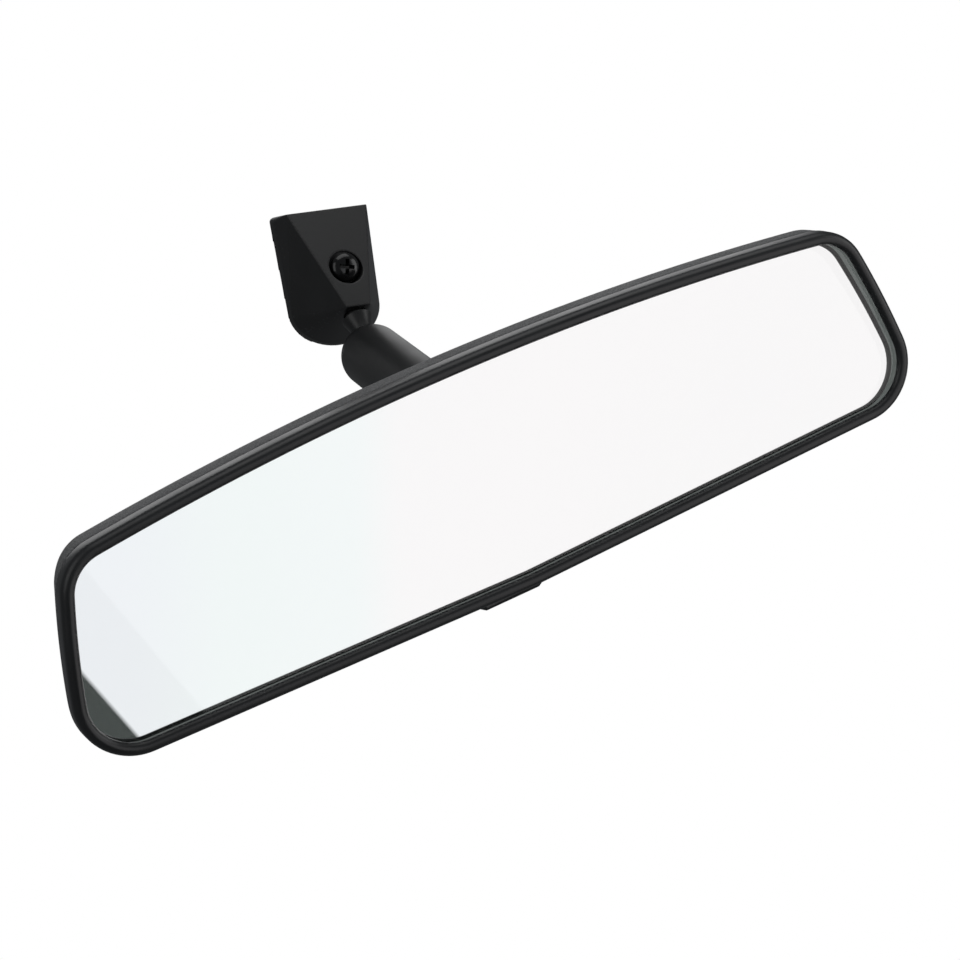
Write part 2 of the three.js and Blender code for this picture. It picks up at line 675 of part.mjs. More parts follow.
// built about its pivot, hanging straight down
function dayNightLever() {
  const centre = new THREE.Vector3();
  const halfT = LEVER_T / 2;
  const tab = [
    [TAB_X - LEVER_HALF_W + 2.2, -LEVER_TIP],
    [TAB_X + LEVER_HALF_W - 2.2, -LEVER_TIP],
    [TAB_X + LEVER_HALF_W, -LEVER_TIP + 1.6],
    [TAB_X + LEVER_HALF_W, -LEVER_TIP + 4.5],
    [6.6, -LEVER_TIP + 7],
    [6.6, 0],
    [-6.6, 0],
    [-6.6, -LEVER_TIP + 7],
    [TAB_X - LEVER_HALF_W, -LEVER_TIP + 4.5],
    [TAB_X - LEVER_HALF_W, -LEVER_TIP + 1.6],
  ].map(([x, z]) => new THREE.Vector2(x, z));
  const cheeks = [-1, 1].map((side) => {
    const xs = [side * 4.6, side * 6.6].sort((a, b) => a - b);
    return block([xs[0], -1.5, 0], [xs[1], 1.5, LEVER_NOSE + 1.4]);
  });
  const body = union(
    plate(tab, -halfT, halfT),
    rod(LEVER_HUB_R, centre, AXIS_X, -7.1, 7.1, 16),
    ...cheeks,
    rod(1.3, new THREE.Vector3(0, 0, LEVER_NOSE), AXIS_X, -5, 5, 12),
  );
  return body.subtract(rod(1.1 + GAP, centre, AXIS_X, -20, 20, 12));
}

// ---------- assembly ----------
function buildMount() {
  const group = new THREE.Group();
  group.position.z = -SEAT_POINT_Z;
  group.add(
    part('mount_base', mountBase(), castBlack()),
    part('clamp_screw', clampScrew(), screwBlack()),
    part('clamp_screw_washer', screwWasher(), steel()),
    part('button_clamp_plate', clampPlate(), steel()),
    part('upper_ball_stud', upperBallStud(), castBlack()),
  );
  return group;
}

const ARM_DIR = new THREE.Vector3(
  Math.sin(ARM_SIDE) * Math.cos(ARM_DOWN),
  -Math.cos(ARM_SIDE) * Math.cos(ARM_DOWN),
  -Math.sin(ARM_DOWN),
);

function buildArm(upperBall) {
  const group = new THREE.Group();
  group.position.copy(upperBall);
  group.quaternion.setFromUnitVectors(AXIS_Y, ARM_DIR);
  group.add(
    part('upper_ball_seat', ballSeat(0, 1), nylon()),
    part('upper_pressure_cup', pressureCup(0, 1), steel()),
    part('arm_tube', armTube(), tubeBlack()),
    part('arm_spring', armSpring(), steel()),
    part('lower_pressure_cup', pressureCup(ARM_LENGTH, -1), steel()),
    part('lower_ball_seat', ballSeat(ARM_LENGTH, -1), nylon()),
  );
  return group;
}

function buildHead(lowerBall) {
  const group = new THREE.Group();
  group.rotation.set(HEAD_PITCH, HEAD_ROLL, 0, 'XYZ');
  group.position.copy(lowerBall).sub(HEAD_BALL.clone().applyEuler(group.rotation));
  const lever = part('day_night_lever', dayNightLever(), bezelBlack());
  lever.position.set(0, ...LEVER_PIVOT);
  lever.rotation.x = LEVER_REST;
  group.add(
    part('lower_ball_stud', lowerBallStud(), steel()),
    part('stud_push_nut', studPushNut(), steel()),
    part('pivot_bracket', pivotBracket(), steel()),
    part('bracket_pin', bracketPin(), steel()),
    part('toggle_carrier', toggleCarrier(), carrierPlastic()),
    part('carrier_screw_left', carrierScrew(CARRIER_SCREWS[0]), steel()),
    part('carrier_screw_right', carrierScrew(CARRIER_SCREWS[1]), steel()),
    part('toggle_spring', toggleSpring(), steel()),
    part('lever_pin', leverPin(), steel()),
    lever,
    part('rear_housing', rearHousing(), grainedGrey()),
    part('bezel', bezel(), bezelBlack()),
    part('prism_glass', prismGlass(), clearGlass()),
    part('mirror_coating', mirrorCoating(), silver()),
  );
  return group;
}

const mirror = new THREE.Group();
const upperBall = UPPER_BALL.clone().setZ(UPPER_BALL.z - SEAT_POINT_Z);
const lowerBall = upperBall.clone().addScaledVector(ARM_DIR, ARM_LENGTH);
mirror.add(buildMount(), buildArm(upperBall), buildHead(lowerBall));

export default mirror;
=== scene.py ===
import math

import bmesh
import bpy
import numpy as np
from mathutils import Euler, Matrix, Quaternion, Vector


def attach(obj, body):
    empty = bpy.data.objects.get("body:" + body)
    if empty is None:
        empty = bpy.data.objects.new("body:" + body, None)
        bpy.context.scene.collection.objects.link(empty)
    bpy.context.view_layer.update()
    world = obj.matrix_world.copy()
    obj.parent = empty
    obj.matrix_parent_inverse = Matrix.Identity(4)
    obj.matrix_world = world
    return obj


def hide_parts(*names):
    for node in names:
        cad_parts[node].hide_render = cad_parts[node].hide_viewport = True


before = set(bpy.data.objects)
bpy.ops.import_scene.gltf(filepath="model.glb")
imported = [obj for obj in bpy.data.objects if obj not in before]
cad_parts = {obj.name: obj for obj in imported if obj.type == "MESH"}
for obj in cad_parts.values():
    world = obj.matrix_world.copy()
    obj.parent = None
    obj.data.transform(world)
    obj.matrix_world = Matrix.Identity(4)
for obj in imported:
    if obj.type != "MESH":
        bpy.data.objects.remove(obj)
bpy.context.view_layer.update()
MM = 0.001

# ---------- places, as in the CAD ----------
MOUNT_AT = Vector((0, 0, 13.5))
UPPER_BALL = MOUNT_AT + Vector((0, -26.35, -25.3))
ARM_DOWN = math.radians(22.5)
ARM_SIDE = math.radians(-0.9)
ARM_LENGTH = 47.6
ARM_DIR = Vector((
    math.sin(ARM_SIDE) * math.cos(ARM_DOWN),
    -math.cos(ARM_SIDE) * math.cos(ARM_DOWN),
    -math.sin(ARM_DOWN),
))
LOWER_BALL = UPPER_BALL + ARM_DIR * ARM_LENGTH
STUD_DOWN = math.radians(57)
STUD_UP = Vector((0, math.cos(STUD_DOWN), math.sin(STUD_DOWN)))
HEAD_PITCH = Euler((math.radians(13.8), 0, 0)).to_matrix()
HEAD_ROLL = Euler((0, math.radians(-13.4), 0)).to_matrix()
HEAD_TURN = HEAD_PITCH @ HEAD_ROLL
HEAD_BALL = Vector((0, 33.2, 13.5))
HEAD_AT = LOWER_BALL - HEAD_TURN @ HEAD_BALL

MOUNT = Matrix.Translation(MOUNT_AT)
HEAD = Matrix.Translation(HEAD_AT) @ HEAD_TURN.to_4x4()


def along(start, direction):
    """Frame whose local Y runs along direction from start."""
    turn = Vector((0, 1, 0)).rotation_difference(direction)
    return Matrix.Translation(start) @ turn.to_matrix().to_4x4()


ARM = along(UPPER_BALL, ARM_DIR)
UPPER_STUD = along(UPPER_BALL, STUD_UP)

# ---------- camera ----------
CAMERA_AT = Vector((-257.24, -700.22, -44.75)) * MM
CAMERA_AZ = math.radians(-22.81)
CAMERA_EL = math.radians(0.60)
CAMERA_ROLL = math.radians(9.93)
LENS = 93.75
SENSOR = 36


def make_camera():
    data = bpy.data.cameras.new("camera")
    data.lens = LENS
    data.sensor_width = SENSOR
    camera = bpy.data.objects.new("camera", data)
    bpy.context.collection.objects.link(camera)
    forward = Vector((
        -math.sin(CAMERA_AZ) * math.cos(CAMERA_EL),
        math.cos(CAMERA_AZ) * math.cos(CAMERA_EL),
        -math.sin(CAMERA_EL),
    ))
    camera.rotation_mode = "QUATERNION"
    level = forward.to_track_quat("-Z", "Y")
    camera.rotation_quaternion = level @ Quaternion((0, 0, 1), -CAMERA_ROLL)
    camera.location = CAMERA_AT
    bpy.context.scene.camera = camera


make_camera()

# ---------- materials ----------
def new_material(name):
    """Named material with its tree, its shader and the coordinates of the object."""
    material = bpy.data.materials.new(name)
    material.use_nodes = True
    tree = material.node_tree
    shader = tree.nodes["Principled BSDF"]
    place = tree.nodes.new("ShaderNodeTexCoord").outputs["Object"]
    return material, tree, shader, place


def noise(tree, place, scale, detail=2.0, roughness=0.5):
    node = tree.nodes.new("ShaderNodeTexNoise")
    node.inputs["Scale"].default_value = scale
    node.inputs["Detail"].default_value = detail
    node.inputs["Roughness"].default_value = roughness
    tree.links.new(place, node.inputs["Vector"])
    return node.outputs["Fac"]


def spread(tree, value, low, high, start=0.3, end=0.7):
    """Stretch start..end of a value to low..high."""
    node = tree.nodes.new("ShaderNodeMapRange")
    node.inputs["From Min"].default_value = start
    node.inputs["From Max"].default_value = end
    node.inputs["To Min"].default_value = low
    node.inputs["To Max"].default_value = high
    tree.links.new(value, node.inputs["Value"])
    return node.outputs["Result"]


def tint(tree, value, dark, light):
    """Colour between dark and light, by value."""
    node = tree.nodes.new("ShaderNodeMix")
    node.data_type = "RGBA"
    node.inputs["A"].default_value = (*dark, 1)
    node.inputs["B"].default_value = (*light, 1)
    tree.links.new(value, node.inputs["Factor"])
    return node.outputs["Result"]


def bump(tree, shader, height, distance, before=None):
    node = tree.nodes.new("ShaderNodeBump")
    node.inputs["Distance"].default_value = distance
    node.inputs["Strength"].default_value = 1.0
    tree.links.new(height, node.inputs["Height"])
    if before is not None:
        tree.links.new(before, node.inputs["Normal"])
    tree.links.new(node.outputs["Normal"], shader.inputs["Normal"])
    return node.outputs["Normal"]


def satin_black(name, dark, light, rough, grain=1500, depth=1.2e-5, wear_and_sheen=None):
    """Smooth black plastic or enamel: fine orange peel, uneven gloss, lighter thin edges that are
    partly rubbed paint and partly painted sheen.
    """
    material, tree, shader, place = new_material(name)
    cloud = noise(tree, place, 60, 4)
    fine = noise(tree, place, grain, 3)
    colour = tint(tree, spread(tree, cloud, 0, 1), dark, light)
    # lighter colour on the sharp edges, found by pointiness: partly rubbed paint, partly painted
    # sheen
    if wear_and_sheen is not None:
        pointiness = tree.nodes.new("ShaderNodeNewGeometry").outputs["Pointiness"]
        edge = spread(tree, pointiness, 0, 1, 0.52, 0.62)
        mix = tree.nodes.new("ShaderNodeMix")
        mix.data_type = "RGBA"
        mix.inputs["B"].default_value = (*wear_and_sheen, 1)
        tree.links.new(edge, mix.inputs["Factor"])
        tree.links.new(colour, mix.inputs["A"])
        colour = mix.outputs["Result"]
    tree.links.new(colour, shader.inputs["Base Color"])
    tree.links.new(spread(tree, cloud, rough - 0.04, rough + 0.04), shader.inputs["Roughness"])
    bump(tree, shader, fine, depth)
    return material


def grained_grey(name):
    """Moulded plastic with a fine spark-eroded grain."""
    material, tree, shader, place = new_material(name)
    grain = noise(tree, place, 2600, 3, 0.6)
    cells = tree.nodes.new("ShaderNodeTexVoronoi")
    cells.inputs["Scale"].default_value = 1900
    tree.links.new(place, cells.inputs["Vector"])
    cloud = noise(tree, place, 45, 3)
    speck = spread(tree, grain, 0, 1, 0.35, 0.65)
    tree.links.new(tint(tree, speck, (0.060, 0.061, 0.063), (0.170, 0.172, 0.175)),
                   shader.inputs["Base Color"])
    tree.links.new(spread(tree, cloud, 0.62, 0.74), shader.inputs["Roughness"])
    coarse = bump(tree, shader, cells.outputs["Distance"], 6e-5)
    bump(tree, shader, grain, 7e-5, coarse)
    return material


def metal(name, base, rough, scale=900, depth=4e-6, stretch=(1, 1, 1)):
    """Plated or turned steel with fine marks."""
    material, tree, shader, place = new_material(name)
    mapping = tree.nodes.new("ShaderNodeMapping")
    mapping.inputs["Scale"].default_value = stretch
    tree.links.new(place, mapping.inputs["Vector"])
    marks = noise(tree, mapping.outputs["Vector"], scale, 4)
    cloud = noise(tree, place, 120, 3)
    low = tuple(0.8 * c for c in base)
    tree.links.new(tint(tree, spread(tree, cloud, 0, 1), low, base), shader.inputs["Base Color"])
    tree.links.new(spread(tree, marks, rough - 0.06, rough + 0.08), shader.inputs["Roughness"])
    shader.inputs["Metallic"].default_value = 1
    bump(tree, shader, marks, depth)
    return material


def nylon(name):
    material, tree, shader, place = new_material(name)
    cloud = noise(tree, place, 200, 3)
    colour = tint(tree, spread(tree, cloud, 0, 1), (0.62, 0.60, 0.54), (0.74, 0.72, 0.66))
    tree.links.new(colour, shader.inputs["Base Color"])
    tree.links.new(spread(tree, cloud, 0.45, 0.6), shader.inputs["Roughness"])
    shader.inputs["Subsurface Weight"].default_value = 0.15
    shader.inputs["Subsurface Scale"].default_value = 0.001
    bump(tree, shader, noise(tree, place, 900, 3), 6e-6)
    return material


def silvering(name):
    """The reflecting coat seen through the prism."""
    material, tree, shader, place = new_material(name)
    shader.inputs["Metallic"].default_value = 1
    shader.inputs["Roughness"].default_value = 0.0
    cloud = noise(tree, place, 8, 2)
    colour = tint(tree, spread(tree, cloud, 0, 1), (0.940, 0.955, 0.952), (0.955, 0.962, 0.960))
    tree.links.new(colour, shader.inputs["Base Color"])
    return material


def clear_glass(name):
    material, tree, shader, place = new_material(name)
    shader.inputs["Base Color"].default_value = (0.985, 0.995, 0.992, 1)
    shader.inputs["Transmission Weight"].default_value = 1
    shader.inputs["IOR"].default_value = 1.52
    dust = noise(tree, place, 400, 5)
    tree.links.new(spread(tree, dust, 0.0, 0.004, 0.6, 0.9), shader.inputs["Roughness"])
    return material


def ground_edge(name):
    """Frosted ground rim of the glass, with a painted glow: a faint emission stands in for the
    light travelling inside the glass that would make it glow faintly.
    """
    material, tree, shader, place = new_material(name)
    cloud = noise(tree, place, 500, 4)
    colour = tint(tree, spread(tree, cloud, 0, 1), (0.05, 0.055, 0.054), (0.06, 0.066, 0.064))
    # painted glow: the emission colours below stand in for light travelling inside the glass to its
    # rim
    faint, bright = (0.085, 0.094, 0.090), (0.115, 0.124, 0.120)
    painted_glow = tint(tree, spread(tree, cloud, 0, 1), faint, bright)
    tree.links.new(colour, shader.inputs["Base Color"])
    tree.links.new(painted_glow, shader.inputs["Emission Color"])
    shader.inputs["Emission Strength"].default_value = 1.0
    tree.links.new(spread(tree, cloud, 0.6, 0.7), shader.inputs["Roughness"])
    return material


MATERIALS = {
    # the cast black's last colour lightens its sharp edges: partly rubbed paint, partly painted
    # sheen
    "cast": satin_black("cast_black", (0.009, 0.0095, 0.010), (0.014, 0.0145, 0.015), 0.40,
                        2200, 1.5e-5, (0.030, 0.031, 0.033)),
    "tube": satin_black("tube_black", (0.008, 0.0085, 0.009), (0.012, 0.0125, 0.013), 0.42, 1500),
    "bezel": satin_black("bezel_black", (0.010, 0.011, 0.0125), (0.014, 0.0155, 0.017), 0.38, 1800),
    "screw": satin_black("screw_black", (0.004, 0.004, 0.0045), (0.007, 0.007, 0.0075), 0.17, 900),
    "carrier": satin_black("carrier_black", (0.02, 0.02, 0.021), (0.03, 0.03, 0.032), 0.5, 1200),
    "grain": grained_grey("grained_grey"),
    "steel": metal("zinc_steel", (0.56, 0.57, 0.58), 0.34),
    "spring": metal("spring_steel", (0.42, 0.43, 0.45), 0.30),
    "nylon": nylon("nylon"),
    "silver": silvering("silvering"),
    "glass": clear_glass("prism_clear"),
    "edge": ground_edge("ground_edge"),
}

CAD_LOOKS = {
    "clamp_screw_washer": "steel",
    "button_clamp_plate": "steel",
    "upper_ball_seat": "nylon",
    "lower_ball_seat": "nylon",
    "upper_pressure_cup": "steel",
    "lower_pressure_cup": "steel",
    "arm_spring": "spring",
    "stud_push_nut": "spring",
    "pivot_bracket": "steel",
    "bracket_pin": "steel",
    "toggle_carrier": "carrier",
    "carrier_screw_left": "steel",
    "carrier_screw_right": "steel",
    "toggle_spring": "spring",
    "lever_pin": "steel",
    "mirror_coating": "carrier",
}
for node, look in CAD_LOOKS.items():
    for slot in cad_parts[node].material_slots:
        slot.material = MATERIALS[look]


# ---------- mesh tools ----------
def make_object(name, points, faces, place, looks, face_looks=None):
    """Mesh object at the origin; points in mm in the frame `place`."""
    flat = np.array(points, float)
    turn = np.array(place.to_3x3())
    shift = np.array(place.translation)
    world = (flat @ turn.T + shift) * MM
    mesh = bpy.data.meshes.new(name)
    mesh.from_pydata(world.tolist(), [], faces)
    mesh.update()
    for look in looks:
        mesh.materials.append(MATERIALS[look])
    if face_looks is not None:
        mesh.polygons.foreach_set("material_index", face_looks)
    item = bpy.data.objects.new(name, mesh)
    bpy.context.collection.objects.link(item)
    fix_normals(mesh)
    return item


def fix_normals(mesh):
    """Weld doubles and turn every face outwards."""
    work = bmesh.new()
    work.from_mesh(mesh)
    bmesh.ops.remove_doubles(work, verts=work.verts, dist=1e-7)
    bmesh.ops.recalc_face_normals(work, faces=work.faces)
    work.to_mesh(mesh)
    work.free()
    mesh.update()


def apply_modifiers(item):
    """Keep the result of the modifiers as the mesh."""
    graph = bpy.context.evaluated_depsgraph_get()
    mesh = bpy.data.meshes.new_from_object(item.evaluated_get(graph))
    old = item.data
    item.modifiers.clear()
    item.data = mesh
    mesh.name = item.name
    bpy.data.meshes.remove(old)


def cut(item, *tools, operation="DIFFERENCE"):
    """Boolean with each tool in turn; the tools are used up."""
    for tool in tools:
        modifier = item.modifiers.new("cut", "BOOLEAN")
        modifier.operation = operation
        modifier.solver = "EXACT"
        modifier.object = tool
        apply_modifiers(item)
        bpy.data.objects.remove(tool)
    return item


def smooth(item, angle):
    for polygon in item.data.polygons:
        polygon.use_smooth = True
    item.data.set_sharp_from_angle(angle=math.radians(angle))


def round_edges(item, width, segments, angle=30):
    modifier = item.modifiers.new("round", "BEVEL")
    modifier.width = width * MM
    modifier.segments = segments
    modifier.limit_method = "ANGLE"
    modifier.angle_limit = math.radians(angle)
    modifier.harden_normals = True
    modifier.use_clamp_overlap = True
    apply_modifiers(item)


def soften(item, voxel, passes):
    """Cast look: remesh finely and relax, so every edge gets a small radius."""
    modifier = item.modifiers.new("remesh", "REMESH")
    modifier.mode = "VOXEL"
    modifier.voxel_size = voxel * MM
    modifier = item.modifiers.new("relax", "SMOOTH")
    modifier.factor = 0.5
    modifier.iterations = passes
    apply_modifiers(item)


def lathe(name, profile, place, look, steps=64):
    """Turned solid about local Y; profile of (radius, height), closed on the axis or on itself."""
    points = []
    for r, h in profile:
        for i in range(steps):
            a = 2 * math.pi * i / steps
            points.append((r * math.cos(a), h, r * math.sin(a)))
    faces = []
    for j in range(len(profile) - 1):
        for i in range(steps):
            k = (i + 1) % steps
            faces.append((j * steps + i, j * steps + k, (j + 1) * steps + k, (j + 1) * steps + i))
    return make_object(name, points, faces, place, [look])


def arc(radius, height, start, end, steps):
    """Arc about a height on the axis; angles in degrees from the +axis direction."""
    out = []
    for i in range(steps + 1):
        a = math.radians(start + (end - start) * i / steps)
        out.append((radius * math.sin(a), height + radius * math.cos(a)))
    return out


def prism(name, outline, y0, y1, place, look):
    """Outline in local x and z, given thickness from y0 to y1."""
    n = len(outline)
    points = [(x, y0, z) for x, z in outline] + [(x, y1, z) for x, z in outline]
    faces = [tuple(range(n)), tuple(range(2 * n - 1, n - 1, -1))]
    faces += [(i, (i + 1) % n, n + (i + 1) % n, n + i) for i in range(n)]
    return make_object(name, points, faces, place, [look])


def box(name, low, high, place, look):
    corners = [(low[0], low[2]), (high[0], low[2]), (high[0], high[2]), (low[0], high[2])]
    return prism(name, corners, low[1], high[1], place, look)


def rod(name, radius, start, end, place, look, steps=48):
    return lathe(name, [(0, start), (radius, start), (radius, end), (0, end)], place, look, steps)


def cross_place(place, x, y, z):
    """Frame at a point of `place` whose local Y runs along the X of `place`."""
    return place @ Matrix.Translation((x, y, z)) @ Matrix.Rotation(math.radians(-90), 4, "Z")


# ---------- head outline, x right and z up from the middle of the bezel ----------
TOP_Z = 32.93
TOP_CORNER = np.array((117.0, 25.0))
LOW_CORNER = np.array((129.5, -30.4))
LOW_CENTRE = np.array((0.0, -33.52))
SIDE_BULGE = 1.64
TOP_FILLET = 14.4
LOW_FILLET = 16.3


def sagitta_radius(half, rise):
    """Radius of an arc from half its chord and its rise."""
    return (half * half + rise * rise) / (2 * rise)


def right_circle_cross(c1, r1, c2, r2):
    """The crossing of two circles that lies further to the right."""
    between = c2 - c1
    d = np.linalg.norm(between)
    run = (r1 * r1 - r2 * r2 + d * d) / (2 * d)
    across = math.sqrt(r1 * r1 - run * run)
    unit = between / d
    side = np.array((-unit[1], unit[0]))
    both = [c1 + unit * run + side * across, c1 + unit * run - side * across]
    return max(both, key=lambda p: p[0])


def head_outline():
    """Points and outward normals once round the head, from the crown clockwise."""
    top_r = sagitta_radius(TOP_CORNER[0], TOP_Z - TOP_CORNER[1])
    top_c = np.array((0.0, TOP_Z - top_r))
    side = LOW_CORNER - TOP_CORNER
    half = np.linalg.norm(side) / 2
    side_r = sagitta_radius(half, SIDE_BULGE)
    side_dir = side / (2 * half)
    inward = np.array((side_dir[1], -side_dir[0]))
    side_c = (TOP_CORNER + LOW_CORNER) / 2 + inward * (side_r - SIDE_BULGE)
    low_dir = LOW_CORNER - LOW_CENTRE
    low_dir = low_dir / np.linalg.norm(low_dir)
    low_n = np.array((low_dir[1], -low_dir[0]))
    c1 = right_circle_cross(top_c, top_r - TOP_FILLET, side_c, side_r - TOP_FILLET)
    start = LOW_CENTRE - low_n * LOW_FILLET
    b = (start - side_c) @ low_dir
    reach = side_r - LOW_FILLET
    gap = (start - side_c) @ (start - side_c) - reach * reach
    c2 = start + low_dir * (-b + math.sqrt(b * b - gap))

    def bearing(centre, point):
        return math.atan2(point[1] - centre[1], point[0] - centre[0])

    a1, a2, a3 = bearing(top_c, c1), bearing(side_c, c1), bearing(side_c, c2)
    a4 = math.atan2(low_n[1], low_n[0])
    arcs = [
        (top_c, top_r, math.pi / 2, a1, 60),
        (c1, TOP_FILLET, a1, a2, 20),
        (side_c, side_r, a2, a3, 16),
        (c2, LOW_FILLET, a3, a4, 24),
    ]
    points, normals = [], []
    for centre, r, a_from, a_to, steps in arcs:
        for i in range(steps):
            a = a_from + (a_to - a_from) * i / steps
            n = np.array((math.cos(a), math.sin(a)))
            points.append(centre + r * n)
            normals.append(n)
    low_end = c2 + LOW_FILLET * low_n
    for i in range(60):
        t = i / 60
        points.append(low_end + (LOW_CENTRE - low_end) * t)
        n = low_n * (1 - t ** 12) + np.array((0.0, -1.0)) * t ** 12
        normals.append(n / np.linalg.norm(n))
    points.append(LOW_CENTRE)
    normals.append(np.array((0.0, -1.0)))
    points, normals = np.array(points), np.array(normals)
    flip = np.array((-1.0, 1.0))
    points = np.vstack([points, points[1:-1][::-1] * flip])
    normals = np.vstack([normals, normals[1:-1][::-1] * flip])
    return points, normals


OUT_P, OUT_N = head_outline()


def ring(inset, y, side_inset=0.0):
    """Outline drawn in by inset, and at the two ends by side_inset more."""
    extra = side_inset * OUT_N[:, :1] ** 2
    flat = OUT_P - OUT_N * (inset + extra)
    return [(x, y, z) for x, z in flat]


def inner_ring(inset, share, y):
    """Beyond `inset`, drawn in towards the head's long middle line by `share`."""
    flat = OUT_P - OUT_N * inset
    middle = np.column_stack([flat[:, 0] * 0.8, np.full(len(flat), 1.0)])
    flat = flat + (middle - flat) * share
    return [(x, y, z) for x, z in flat]


def skin(rings, closed=False, first_cap=False, last_cap=False):
    """Faces between neighbouring rings, and over the end rings where asked."""
    points = [p for loop in rings for p in loop]
    n = len(rings[0])
    faces = []
    count = len(rings) if closed else len(rings) - 1
    for j in range(count):
        a, b = j * n, ((j + 1) % len(rings)) * n
        for i in range(n):
            k = (i + 1) % n
            faces.append((a + i, a + k, b + k, b + i))
    if first_cap:
        faces.append(tuple(range(n)))
    if last_cap:
        faces.append(tuple(range(len(points) - 1, len(points) - n - 1, -1)))
    return points, faces


def corner_arc(cx, cy, rx, ry, start, end, steps):
    """Elliptic arc in (inset, depth) space, angles in degrees."""
    out = []
    for i in range(steps + 1):
        a = math.radians(start + (end - start) * i / steps)
        out.append((cx + rx * math.cos(a), cy + ry * math.sin(a)))
    return out


# ---------- bezel, housing and glass ----------
BEZEL_DEPTH = 6.0
LIP_INSET = 3.6
LIP_BACK = 1.8
REBATE = (2.1, 2.1)  # inset, depth
GLASS_INSET = 2.4
GLASS_FRONT = 2.4
GLASS_TOP_T = 5.5
GLASS_LOW_T = 2.2
GLASS_BEVEL = 0.35
HOUSING_FRONT = 6.3
HOUSING_BACK = 23.5
HOUSING_WALL = 2.0
BACK_RISE = 1.1  # the back is a little lower at its rim than along the middle
BACK_INSET = 12.1  # where the flat of the back begins
BACK_CURVE = (11.9, 11.4)  # half axes of the rounding between wall and back
END_DRAFT = 1.6  # how far the two end walls lean in at half depth
ARM_HOLE_R = 9
THROUGH_BACK = (15, 30)  # a depth range that passes through the back wall
LEVER_SLOT = ((-13.5, 8.2, -40), (9.1, 18.5, -27))
SCREW_HOLE_R = 1.5
SCREW_HOLES_X = (-20, 20)
SCREW_HOLES_Z = 2


def make_bezel():
    profile = [(0.35, BEZEL_DEPTH), (0.12, BEZEL_DEPTH - 0.15), (0.0, BEZEL_DEPTH - 0.5)]
    profile += corner_arc(1.9, 2.3, 1.9, 2.3, 180, 270, 9)
    profile += corner_arc(1.95, 1.45, 1.65, 1.45, 272, 360, 9)
    profile += [(LIP_INSET, LIP_BACK), (LIP_INSET - 0.15, REBATE[1])]
    profile += [(REBATE[0], REBATE[1]), (REBATE[0], BEZEL_DEPTH)]
    points, faces = skin([ring(d, y) for d, y in profile], closed=True)
    item = make_object("bezel_bead", points, faces, HEAD, ["bezel"])
    smooth(item, 50)
    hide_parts("bezel")
    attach(item, "head")


def end_draft(depth):
    """Extra inset of the end walls: none at the front, most at half depth, none at the back."""
    return END_DRAFT * min(1.0, 2 * depth) * (1 - max(0.0, 2 * depth - 1))


def housing_outside():
    back = HOUSING_BACK - BACK_RISE
    wall = [(0.5, HOUSING_FRONT), (0.25, HOUSING_FRONT + 0.1), (0.15, HOUSING_FRONT + 0.35)]
    wall += [(0.16, 8.0), (0.2, 9.8)]
    across, deep = BACK_CURVE
    wall += corner_arc(BACK_INSET, back - deep, across, deep, 180, 90, 16)[1:]
    rings = []
    for d, y in wall:
        rings.append(ring(d, y, end_draft((y - HOUSING_FRONT) / (back - HOUSING_FRONT))))
    for share in (0.12, 0.3, 0.5, 0.7, 0.85, 0.95):
        crown = BACK_RISE * math.sin(share * math.pi / 2)
        rings.append(inner_ring(BACK_INSET, share, back + crown))
    return rings


def housing_inside():
    back = HOUSING_BACK - HOUSING_WALL
    curve = 10
    wall = [(HOUSING_WALL, HOUSING_FRONT), (HOUSING_WALL, 10.0)]
    wall += corner_arc(HOUSING_WALL + curve, back - curve - 1, curve, curve, 180, 90, 10)[1:]
    rings = [ring(d, y) for d, y in wall]
    for share in (0.3, 0.7, 0.95):
        rings.append(inner_ring(HOUSING_WALL + curve, share, back - 1 + share))
    return rings


def make_housing():
    loops = housing_outside()[::-1] + housing_inside()
    points, faces = skin(loops, first_cap=True, last_cap=True)
    item = make_object("housing_shell", points, faces, HEAD, ["grain"])
    arm_line = HEAD @ Matrix.Translation((0, 0, HEAD_BALL.z))
    tools = [
        rod("hole", ARM_HOLE_R, *THROUGH_BACK, arm_line, "grain", 72),
        box("slot", *LEVER_SLOT, HEAD, "grain"),
    ]
    for x in SCREW_HOLES_X:
        line = HEAD @ Matrix.Translation((x, 0, SCREW_HOLES_Z))
        tools.append(rod("hole", SCREW_HOLE_R, *THROUGH_BACK, line, "grain", 24))
    cut(item, *tools)
    smooth(item, 40)
    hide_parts("rear_housing")
    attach(item, "head")


def glass_back(z):
    """Depth of the silvered back: the glass is a wedge, thick at the top."""
    share = (z - LOW_CENTRE[1]) / (TOP_Z - LOW_CENTRE[1])
    return GLASS_FRONT + GLASS_LOW_T + (GLASS_TOP_T - GLASS_LOW_T) * share


def make_glass():
    """Solid prism: clear front, ground rim, silvered back, in one closed mesh."""
    front = ring(GLASS_INSET + GLASS_BEVEL, GLASS_FRONT)
    shoulder = ring(GLASS_INSET, GLASS_FRONT + GLASS_BEVEL)
    rim = [(x, glass_back(z) - GLASS_BEVEL, z) for x, _, z in ring(GLASS_INSET, 0)]
    back = [(x, glass_back(z), z) for x, _, z in ring(GLASS_INSET + GLASS_BEVEL, 0)]
    points, faces = skin([front, shoulder, rim, back], first_cap=True, last_cap=True)
    looks = [1] * (3 * len(front)) + [0, 2]
    item = make_object("prism", points, faces, HEAD, ["glass", "edge", "silver"], looks)
    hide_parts("prism_glass")
    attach(item, "head")


make_bezel()
make_housing()
make_glass()

